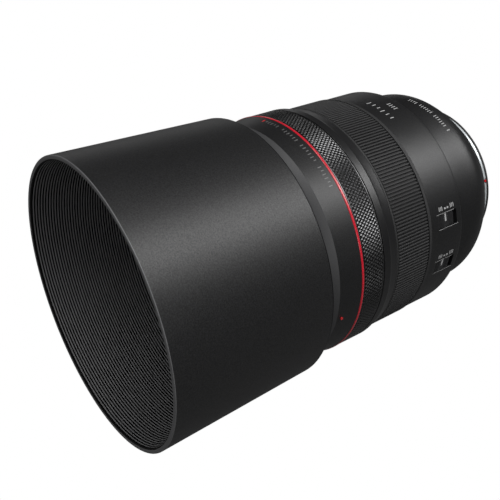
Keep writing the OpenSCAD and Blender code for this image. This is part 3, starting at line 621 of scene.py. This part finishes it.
def makeControlRing():
    front, rear, outer = frontOf("control_ring"), rearOf("control_ring"), radiusOf("control_ring")
    floorR = outer - knurl["height"]
    low, high = rear + knurl["edge"], front - knurl["edge"]
    bm = bmesh.new()
    edgeR = outer - knurl["edgeSink"]
    turnOutline(bm, [(knurl["boreR"], rear), (edgeR, rear, 0.2 * mm), (edgeR, low - 0.15 * mm, 0.1 * mm),
                     (floorR, low), (floorR, high), (edgeR, high + 0.15 * mm, 0.1 * mm),
                     (edgeR, front, 0.2 * mm), (knurl["boreR"], front)])
    # one pair of diamond columns, half a pitch apart, then copied round
    tile = bmesh.new()
    half = math.pi / knurl["around"]
    middle = (low + high) / 2
    for column in (0, 1):
        shift = column * half
        for row in knurl["rows"]:
            centre = middle + (row + 0.5 * column) * knurl["pitch"]
            if centre - knurl["pitch"] * 0.5 > high or centre + knurl["pitch"] * 0.5 < low:
                continue
            rings = []
            for radius, share in ((floorR - 0.05 * mm, knurl["foot"]),
                                  (outer - knurl["peak"], knurl["foot"]), (outer, knurl["top"])):
                points = [(half * share, 0), (0, knurl["pitch"] / 2 * share), (-half * share, 0),
                          (0, -knurl["pitch"] / 2 * share)]
                rings.append([tile.verts.new(Vector((radius * math.sin(shift + a), -(centre + s),
                                                     radius * math.cos(shift + a)))) for a, s in points])
            edges = [[tile.edges.new((ring[i - 1], ring[i])) for i in range(4)] for ring in rings]
            bmesh.ops.bridge_loops(tile, edges=edges[0] + edges[1])
            bmesh.ops.bridge_loops(tile, edges=edges[1] + edges[2])
            bmesh.ops.contextual_create(tile, geom=edges[0])
            bmesh.ops.contextual_create(tile, geom=edges[2])
    for station, keep in ((high, 1), (low, -1)):
        cut = bmesh.ops.bisect_plane(tile, geom=[*tile.verts, *tile.edges, *tile.faces],
                                     plane_co=(0, -station, 0), plane_no=(0, -keep, 0), clear_outer=True)
        bmesh.ops.holes_fill(tile, edges=[e for e in cut["geom_cut"] if isinstance(e, bmesh.types.BMEdge)])
    copyRound(tile, [*tile.verts, *tile.edges, *tile.faces], knurl["around"])
    # painted shade on the floor between the diamonds
    paintFloorShade(bm, floorR)
    absorb(bm, tile)
    finishPiece(bm, "controlRing", ["knurlMetal", "paintedShade"], "control_ring",
                ["control_ring"], 25)


makeControlRing()
print("control ring made")


# smooth band between the rings
band = {"rearSink": 1.0 * mm, "stepSink": 0.45 * mm, "stepAt": 3.4 * mm, "flatAt": 4.6 * mm}


def makeBand():
    front, rear, outer = frontOf("band_ring"), rearOf("band_ring"), radiusOf("band_ring")
    bm = bmesh.new()
    turnOutline(bm, [(coreR, rear), (outer - band["rearSink"], rear, 0.15 * mm),
                     (outer - band["stepSink"], rear + band["stepAt"]), (outer, rear + band["flatAt"]),
                     (outer, front, 0.2 * mm), (coreR, front)])
    finishPiece(bm, "bandRing", "bandSatin", "barrel", ["band_ring"], 12)


makeBand()

# rubber focus ring
grip = {"ribs": 233, "ribHeight": 0.75 * mm, "ribBase": 0.62, "ribTop": 0.46, "rearStrip": 1.5 * mm,
        "frontStrip": 0.9 * mm, "coreR": 48.27 * mm}


def makeGrip():
    front, rear, outer = frontOf("focus_grip"), rearOf("focus_grip"), radiusOf("focus_grip")
    valley = outer - grip["ribHeight"]
    low, high = rear + grip["rearStrip"], front - grip["frontStrip"]
    bm = bmesh.new()
    turnOutline(bm, [(grip["coreR"], rear), (outer, rear, 0.3 * mm), (outer, low, 0.15 * mm), (valley, low),
                     (valley, high), (outer, high, 0.15 * mm), (outer, front, 0.3 * mm),
                     (grip["coreR"], front)])
    rib = bmesh.new()
    pitch = fullTurn / grip["ribs"]
    loops = []
    for radius, share, short in ((valley - 0.1 * mm, grip["ribBase"], 0), (valley, grip["ribBase"], 0),
                                 (outer - 0.12 * mm, grip["ribTop"] * 1.12, 0.25 * mm),
                                 (outer, grip["ribTop"] * 0.7, 0.45 * mm)):
        a = pitch * share / 2
        loops.append([rib.verts.new(Vector((radius * math.sin(t), -s, radius * math.cos(t))))
                      for t, s in ((-a, low + short + 0.1 * mm), (a, low + short + 0.1 * mm),
                                   (a, high - short - 0.1 * mm), (-a, high - short - 0.1 * mm))])
    edges = [[rib.edges.new((ring[i - 1], ring[i])) for i in range(4)] for ring in loops]
    for lower, upper in zip(edges, edges[1:]):
        bmesh.ops.bridge_loops(rib, edges=lower + upper)
    bmesh.ops.contextual_create(rib, geom=edges[0])
    bmesh.ops.contextual_create(rib, geom=edges[-1])
    copyRound(rib, [*rib.verts, *rib.edges, *rib.faces], grip["ribs"])
    # painted shade on the floor between the ribs
    paintFloorShade(bm, valley)
    absorb(bm, rib)
    finishPiece(bm, "focusGrip", ["gripRubber", "innerBlackAndPaintedShade"], "focus_ring", ["focus_grip"])


makeGrip()
print("focus ring made")

# rear barrel with the two switch windows
switches = {"angles": (74, 98), "halfWidth": 3.5, "depth": 1.45 * mm, "back": 3.3 * mm, "length": 11 * mm,
            "boreR": 47.8 * mm, "steps": 360, "shadow": 0.6 * mm}


def makeRearBarrel():
    front, rear, outer = frontOf("rear_barrel"), rearOf("rear_barrel"), radiusOf("rear_barrel")
    windowRear = rear + switches["back"]
    windowFront = windowRear + switches["length"]
    bm = bmesh.new()
    turnOutline(bm, [(switches["boreR"], rear), (outer, rear, 0.9 * mm), (outer, windowRear),
                     (outer, windowFront), (outer, front, 0.25 * mm), (switches["boreR"], front)],
                switches["steps"], math.radians(0.5))
    for centre in switches["angles"]:
        window = []
        for face in bm.faces:
            middle = face.calc_center_median()
            aside = abs(degreesOf(middle) - centre) < switches["halfWidth"]
            along = windowRear < stationOf(middle) < windowFront
            if aside and along and radialOf(middle) > outer - 0.2 * mm:
                window.append(face)
        sunk = bmesh.ops.extrude_face_region(bm, geom=window, use_keep_orig=False)
        share = (outer - switches["depth"]) / outer
        verts = [g for g in sunk["geom"] if isinstance(g, bmesh.types.BMVert)]
        bmesh.ops.scale(bm, verts=verts, vec=(share, 1, share))
        bmesh.ops.delete(bm, geom=window, context="FACES")
    # painted shade: a dark shadow line along the last strip of the rear edge
    for face in bm.faces:
        face.material_index = 1 if stationOf(face.calc_center_median()) < rear + switches["shadow"] else 0
    finishPiece(bm, "rearBarrel", ["barrelPaint", "paintedShade"], "barrel", ["rear_barrel"],
                35)


makeRearBarrel()


knob = {"short": 1.0 * mm, "topR": 49.65 * mm, "footR": 48.62 * mm, "degrees": 6.6, "ridges": 4,
        "ridgePitch": 0.62 * mm, "ridgeDepth": 0.16 * mm, "bankAt": 0.3, "indexHalf": 0.45 * mm,
        "indexLift": 0.03 * mm, "indexSink": 0.1 * mm, "indexAside": 1.4, "indexDegrees": 3.8}


def makeKnob(name, body, node, centre):
    front, rear = frontOf(node) - knob["short"], rearOf(node) + knob["short"]
    top, foot, valley = knob["topR"], knob["footR"], knob["topR"] - knob["ridgeDepth"]
    corners = [(foot, rear), (top - 0.1 * mm, rear), (top, rear + 0.15 * mm)]
    for side in (-1, 1):
        middle = (front + rear) / 2 + side * (front - rear) * knob["bankAt"]
        for i in range(knob["ridges"]):
            s = middle + (i - (knob["ridges"] - 1) / 2) * knob["ridgePitch"]
            corners += [(top, s - 0.2 * mm), (valley, s - 0.1 * mm), (valley, s + 0.1 * mm),
                        (top, s + 0.2 * mm)]
    corners += [(top, front - 0.15 * mm), (top - 0.1 * mm, front), (foot, front)]
    bm = bmesh.new()
    spinSolid(bm, corners, centre, knob["degrees"], 8)
    finishPiece(bm, name, "knobBlack", body, [node], 35)
    # the white index line, from the upper edge of the knob to its middle
    bm = bmesh.new()
    barRear, barFront = ((front + rear) / 2 + side * knob["indexHalf"] for side in (-1, 1))
    sunk, lifted = top - knob["indexSink"], top + knob["indexLift"]
    spinSolid(bm, [(sunk, barRear), (lifted, barRear), (lifted, barFront), (sunk, barFront)],
              centre - knob["indexAside"], knob["indexDegrees"], 4)
    finishPiece(bm, name + "Index", "markWhite", body, weighted=False)


makeKnob("modeKnob", "mode_switch", "mode_knob", switches["angles"][0])
makeKnob("limiterKnob", "limiter_switch", "limiter_knob", switches["angles"][1])
print("rear barrel and switches made")

# rear cover
cover = {"steps": 36, "shoulderAt": 0.24, "crestAt": 0.5, "waistAt": 0.86, "footR": 35.1 * mm,
         "shoulderR": 41.3 * mm, "crestR": 45.2 * mm, "waistR": 43.4 * mm, "wall": 2.0 * mm,
         "throatR": 28 * mm, "lipR": 45.4 * mm, "joinSink": 0.9 * mm}


def coverRadius(share, joinR):
    # share counts from 0 at the foot to 1 at the join with the rear barrel
    c = cover
    if share < c["shoulderAt"]:
        return c["footR"] + (c["shoulderR"] - c["footR"]) * share / c["shoulderAt"]
    if share < c["crestAt"]:
        turn = (share - c["shoulderAt"]) / (c["crestAt"] - c["shoulderAt"]) * math.pi / 2
        return c["shoulderR"] + (c["crestR"] - c["shoulderR"]) * math.sin(turn)
    if share < c["waistAt"]:
        turn = (share - c["crestAt"]) / (c["waistAt"] - c["crestAt"]) * math.pi
        return c["crestR"] + (c["waistR"] - c["crestR"]) * (1 - math.cos(turn)) / 2
    turn = (share - c["waistAt"]) / (1 - c["waistAt"]) * math.pi / 2
    return c["waistR"] + (joinR - c["waistR"]) * (1 - math.cos(turn))


def makeCover():
    front, rear, outer = frontOf("rear_cover"), rearOf("rear_cover"), radiusOf("rear_cover")
    shares = [i / cover["steps"] for i in range(cover["steps"] + 1)]
    joinR = outer - cover["joinSink"]
    outline = [(coverRadius(share, joinR), rear + (front - rear) * share) for share in shares]
    inner = [(r - cover["wall"], s) for r, s in reversed(outline[2:-2])]
    bm = bmesh.new()
    turnOutline(bm, [(cover["throatR"], rear), *outline, (cover["lipR"], front), *inner,
                     (cover["throatR"], rear + cover["wall"])])
    finishPiece(bm, "rearCover", "barrelPaint", "barrel", ["rear_cover"], 35)


makeCover()
print("rear cover made")

# printed marks, none of them letters; lengths in mm and angles in degrees
marks = {"lift": 0.025 * mm, "sink": 0.12 * mm, "stepDegrees": 1.5}
topLong = {"count": 6, "first": 2.5, "pitch": 3.1, "width": 0.55, "back": 7.6, "long": 2.6, "short": 1.9}
topShort = {"count": 4, "first": 8.0, "pitch": 1.6, "width": 0.5, "back": 14.2, "length": 2.2}
frameLine = {"aside": 0.2, "width": 0.16, "upper": (1.4, 0.6), "lower": (-0.6, -0.2)}
# beside each window: (rear, front, angle past the column's own, width)
switchMarks = {"aside": 6.0,
               "strokes": [(9.5, 9.9, 0, 2.0), (8.6, 9.0, 0, 2.0), (7.9, 8.3, 0, 2.0), (5.9, 6.9, 0.4, 0.9),
                           (4.3, 5.3, 0.4, 0.9), (2.9, 3.3, 0, 2.0), (2.1, 2.5, 0, 2.0), (1.2, 1.6, 0, 2.0)]}
frontRow = {"count": 26, "first": -5, "pitch": 1.85, "width": 0.42, "ahead": 1.7, "long": 1.5, "short": 1.1,
            "edgeSink": 0.05 * mm, "slope": 1.35 * mm, "endAngle": -7.2, "endWidth": 0.9}
coverRow = {"count": 20, "first": 0.8, "pitch": 1.62, "width": 0.5, "rear": 18.4, "front": 19.9,
            "tall": 20.2}


def addMark(bm, radiusAt, s0, s1, centre, width):
    corners = [(radiusAt(s0) - marks["sink"], s0), (radiusAt(s0) + marks["lift"], s0),
               (radiusAt(s1) + marks["lift"], s1), (radiusAt(s1) - marks["sink"], s1)]
    spinSolid(bm, corners, centre, width, max(2, round(width / marks["stepDegrees"])))


def makeBarrelMarks():
    rear, front, barrelR = rearOf("rear_barrel"), frontOf("rear_barrel"), radiusOf("rear_barrel")

    def flat(station):
        return barrelR

    bm = bmesh.new()
    # two rows of plain strokes at the top of the rear barrel
    for i in range(topLong["count"]):
        long = (topLong["long"] if i in (0, 3) else topLong["short"]) * mm
        start = front - topLong["back"] * mm
        addMark(bm, flat, start, start + long, topLong["first"] + topLong["pitch"] * i, topLong["width"])
    for i in range(topShort["count"]):
        start = front - topShort["back"] * mm
        addMark(bm, flat, start, start + topShort["length"] * mm, topShort["first"] + topShort["pitch"] * i,
                topShort["width"])
    # frame lines above and below each switch window, and position marks beside it
    windowRear = rear + switches["back"]
    windowFront = windowRear + switches["length"]
    for centre in switches["angles"]:
        for side, (rearMove, frontMove) in ((-1, frameLine["upper"]), (1, frameLine["lower"])):
            addMark(bm, flat, windowRear + rearMove * mm, windowFront + frontMove * mm,
                    centre + side * (switches["halfWidth"] + frameLine["aside"]), frameLine["width"])
    for low, high, aside, width in switchMarks["strokes"]:
        for centre in switches["angles"]:
            addMark(bm, flat, windowRear + low * mm, windowRear + high * mm,
                    centre - switchMarks["aside"] + aside, width)
    finishPiece(bm, "barrelMarks", "markWhite", "barrel", weighted=False)


def makeFrontMarks():
    # fine strokes round the front barrel, with one red stroke at their end
    rear, front, outer = rearOf("front_barrel"), frontOf("front_barrel"), radiusOf("front_barrel")

    def slope(station):
        return outer - frontRow["edgeSink"] - frontRow["slope"] * (station - rear) / (front - rear)

    bm = bmesh.new()
    start = rear + frontRow["ahead"] * mm
    for i in range(frontRow["count"]):
        if i % 7 != 5:
            long = frontRow["long"] if i % 3 else frontRow["short"]
            addMark(bm, slope, start, start + long * mm, frontRow["first"] + frontRow["pitch"] * i,
                    frontRow["width"])
    finishPiece(bm, "frontMarks", "markGrey", "barrel", weighted=False)
    bm = bmesh.new()
    addMark(bm, slope, start, start + frontRow["long"] * mm, frontRow["endAngle"], frontRow["endWidth"])
    finishPiece(bm, "frontEndMark", "indexRed", "barrel", weighted=False)


def makeCoverMarks():
    # strokes round the rear cover, which follow its curve
    rear, front = rearOf("rear_cover"), frontOf("rear_cover")
    joinR = radiusOf("rear_barrel") - cover["joinSink"]

    def curve(station):
        return coverRadius((station - rear) / (front - rear), joinR)

    bm = bmesh.new()
    for i in range(coverRow["count"]):
        if i % 7 != 4:
            end = coverRow["front"] if i % 3 else coverRow["tall"]
            addMark(bm, curve, rear + coverRow["rear"] * mm, rear + end * mm,
                    coverRow["first"] + coverRow["pitch"] * i, coverRow["width"])
    finishPiece(bm, "coverMarks", "markWhite", "barrel", weighted=False)


makeBarrelMarks()
makeFrontMarks()
makeCoverMarks()

# the two red index dots, each on its surface: (node, radius of the dot, distance from the axis)
dots = {"hoodDot": ("hood_index_dot", 0.6 * mm, 51.0 * mm),
        "mountDot": ("mount_index_dot", 0.6 * mm, 34.55 * mm)}
dotShape = {"thick": 0.5 * mm, "sink": 0.15 * mm, "taper": 0.92}


def makeDots():
    for name, (node, dotR, surface) in dots.items():
        low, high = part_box(node)
        place = (low + high) / 2
        outwards = Vector((place.x, 0, place.z)).normalized()
        turn = Vector((0, 0, 1)).rotation_difference(outwards).to_matrix().to_4x4()
        shift = Matrix.Translation(Vector((0, place.y, 0)) + outwards * (surface - dotShape["sink"]))
        bm = bmesh.new()
        bmesh.ops.create_cone(bm, cap_ends=True, segments=32, radius1=dotR, radius2=dotR * dotShape["taper"],
                              depth=dotShape["thick"])
        bmesh.ops.transform(bm, matrix=shift @ turn, verts=bm.verts)
        finishPiece(bm, name, "indexRed", "barrel", [node], 30)


makeDots()
print("marks made")


# front and rear glass
def lensOutline(rearVertex, frontVertex, edgeR, rearCurve, frontCurve, steps=20):
    # a face bulges where its radius of curvature is positive
    def surface(vertex, curve, outwards):
        points = []
        for i in range(steps + 1):
            r = edgeR * i / steps
            drop = math.copysign(abs(curve) - math.sqrt(curve * curve - r * r), curve)
            points.append((r, vertex - outwards * drop))
        return points

    return surface(rearVertex, rearCurve, -1) + surface(frontVertex, frontCurve, 1)[::-1]


def makeLens(name, node, lens, rearVertex, frontVertex):
    outline = lensOutline(rearVertex, frontVertex, lens["edgeR"], lens["rearCurve"], lens["frontCurve"])
    bm = bmesh.new()
    verts = [bm.verts.new((0, -s, r)) for r, s in outline]
    edges = [bm.edges.new((a, b)) for a, b in zip(verts, verts[1:])]
    bmesh.ops.spin(bm, geom=verts + edges, cent=(0, 0, 0), axis=(0, 1, 0), angle=fullTurn, steps=128,
                   use_merge=True)
    bmesh.ops.remove_doubles(bm, verts=bm.verts, dist=1e-6)
    finishPiece(bm, name, "frontCoating", "barrel", [node], 30, weighted=False)


frontVertex = frontOf("front_element")
frontLens = {"rearCurve": -260 * mm, "frontCurve": 92 * mm, "thick": 8 * mm, "edgeR": 38.2 * mm}
rearLens = {"rearCurve": 66 * mm, "frontCurve": 240 * mm, "edgeR": 23 * mm}
makeLens("frontGlass", "front_element", frontLens, frontVertex - frontLens["thick"], frontVertex)
makeLens("rearGlass", "rear_element", rearLens, rearOf("rear_element"), frontOf("rear_element"))
print("glass made")

# the CAD nodes that stay, each with its finish
nodeFinish = {
    "mountSteel": ["mount_ring", "usm_rotor"],
    "screwSteel": ["mount_screws", "aperture_motor", "wave_spring", "focus_rollers"],
    "sealRubber": ["mount_seal"],
    "innerBlackAndPaintedShade": ["contact_block", "rear_baffle", "front_cell", "retaining_ring", "aperture_base",
                   "aperture_cover", "rear_cell", "focus_carrier"],
    "contactGold": ["contact_pins"],
    "mouldedBlack": ["main_barrel", "inner_barrel", "focus_ring_core"],
    "boardGreen": ["circuit_board"],
    "driveBrass": ["usm_stator", "cam_ring"],
    "blackenedSteel": ["aperture_ring"] + [f"blade_{i}" for i in range(1, 10)],
    "innerCoating": [f"element_{i:02d}" for i in range(2, 13)],
}
for finish, nodes in nodeFinish.items():
    for node in nodes:
        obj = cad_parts[node]
        obj.data.materials.clear()
        obj.data.materials.append(materials[finish])
print("frame nodes finished")


# stage, lights and camera
# soft strips parallel to the optical axis: (degrees round the axis, place along Y, power)
studio = {"floorZ": -0.35, "floorSize": 6, "floorBounce": 0.15, "fill": 0.04, "distance": 1.2,
          "stripLength": 1.7, "stripWidth": 0.3,
          "strips": [(24, 0.85, 6.5), (36, 0.85, 10.4), (48, 0.85, 2.6), (0, -0.85, 7.8), (24, -0.85, 1.9),
                     (80, -0.85, 3.7), (-80, 0.85, 0.9), (-100, -0.85, 0.4)]}


def stripLight(name, direction, alongY, power):
    data = bpy.data.lights.new(name, "AREA")
    data.shape = "RECTANGLE"
    data.size, data.size_y = studio["stripWidth"], studio["stripLength"]
    data.energy = power
    light = bpy.data.objects.new(name, data)
    bpy.context.scene.collection.objects.link(light)
    angle = math.radians(direction)
    facing = Vector((math.sin(angle), 0, math.cos(angle)))
    across = Vector((0, 1, 0)).cross(facing)
    turn = Matrix((across, Vector((0, 1, 0)), facing)).transposed().to_4x4()
    light.matrix_world = Matrix.Translation(facing * studio["distance"] + Vector((0, alongY, 0))) @ turn


def makeStage():
    bm = bmesh.new()
    bmesh.ops.create_grid(bm, x_segments=1, y_segments=1, size=studio["floorSize"])
    bmesh.ops.translate(bm, verts=bm.verts, vec=(0, 0, studio["floorZ"]))
    mesh = bpy.data.meshes.new("floor")
    bm.to_mesh(mesh)
    bm.free()
    floor = bpy.data.objects.new("floor", mesh)
    bpy.context.scene.collection.objects.link(floor)
    material, nodes, links, shader = startMaterial("floorPaper")
    # the paper looks evenly white, and throws only a little light back up at the object
    shader.inputs["Base Color"].default_value = (studio["floorBounce"],) * 3 + (1,)
    shader.inputs["Roughness"].default_value = 1
    shader.inputs["Specular IOR Level"].default_value = 0
    path = nodes.new("ShaderNodeLightPath")
    white = nodes.new("ShaderNodeEmission")
    white.inputs["Color"].default_value = (1, 1, 1, 1)
    mix = nodes.new("ShaderNodeMixShader")
    links.new(path.outputs["Is Camera Ray"], mix.inputs[0])
    links.new(shader.outputs[0], mix.inputs[1])
    links.new(white.outputs[0], mix.inputs[2])
    out = next(n for n in nodes if n.type == "OUTPUT_MATERIAL")
    links.new(mix.outputs[0], out.inputs["Surface"])
    mesh.materials.append(material)


def makeWorld():
    world = bpy.data.worlds.new("studio")
    bpy.context.scene.world = world
    world.use_nodes = True
    nodes, links = world.node_tree.nodes, world.node_tree.links
    nodes.clear()
    out = nodes.new("ShaderNodeOutputWorld")
    seen = nodes.new("ShaderNodeBackground")
    seen.inputs["Color"].default_value = (1, 1, 1, 1)
    lit = nodes.new("ShaderNodeBackground")
    lit.inputs["Strength"].default_value = studio["fill"]
    path = nodes.new("ShaderNodeLightPath")
    mix = nodes.new("ShaderNodeMixShader")
    links.new(path.outputs["Is Camera Ray"], mix.inputs[0])
    links.new(lit.outputs[0], mix.inputs[1])
    links.new(seen.outputs[0], mix.inputs[2])
    links.new(mix.outputs[0], out.inputs["Surface"])


makeStage()
makeWorld()
for number, (angle, along, power) in enumerate(studio["strips"]):
    stripLight(f"strip{number}", angle, along, power)

view = {"place": (0.2047, -0.2615, 0.1550), "aim": (-0.6849, 0.5077, -0.5226), "lens": 51.84}
cameraData = bpy.data.cameras.new("camera")
cameraData.lens = view["lens"]
cameraData.sensor_width = 36
cameraData.clip_start = 0.01
camera = bpy.data.objects.new("camera", cameraData)
bpy.context.scene.collection.objects.link(camera)
camera.location = view["place"]
camera.rotation_euler = Vector(view["aim"]).to_track_quat("-Z", "Y").to_euler()
bpy.context.scene.camera = camera
bpy.context.scene.view_settings.view_transform = "Standard"
print("stage set")
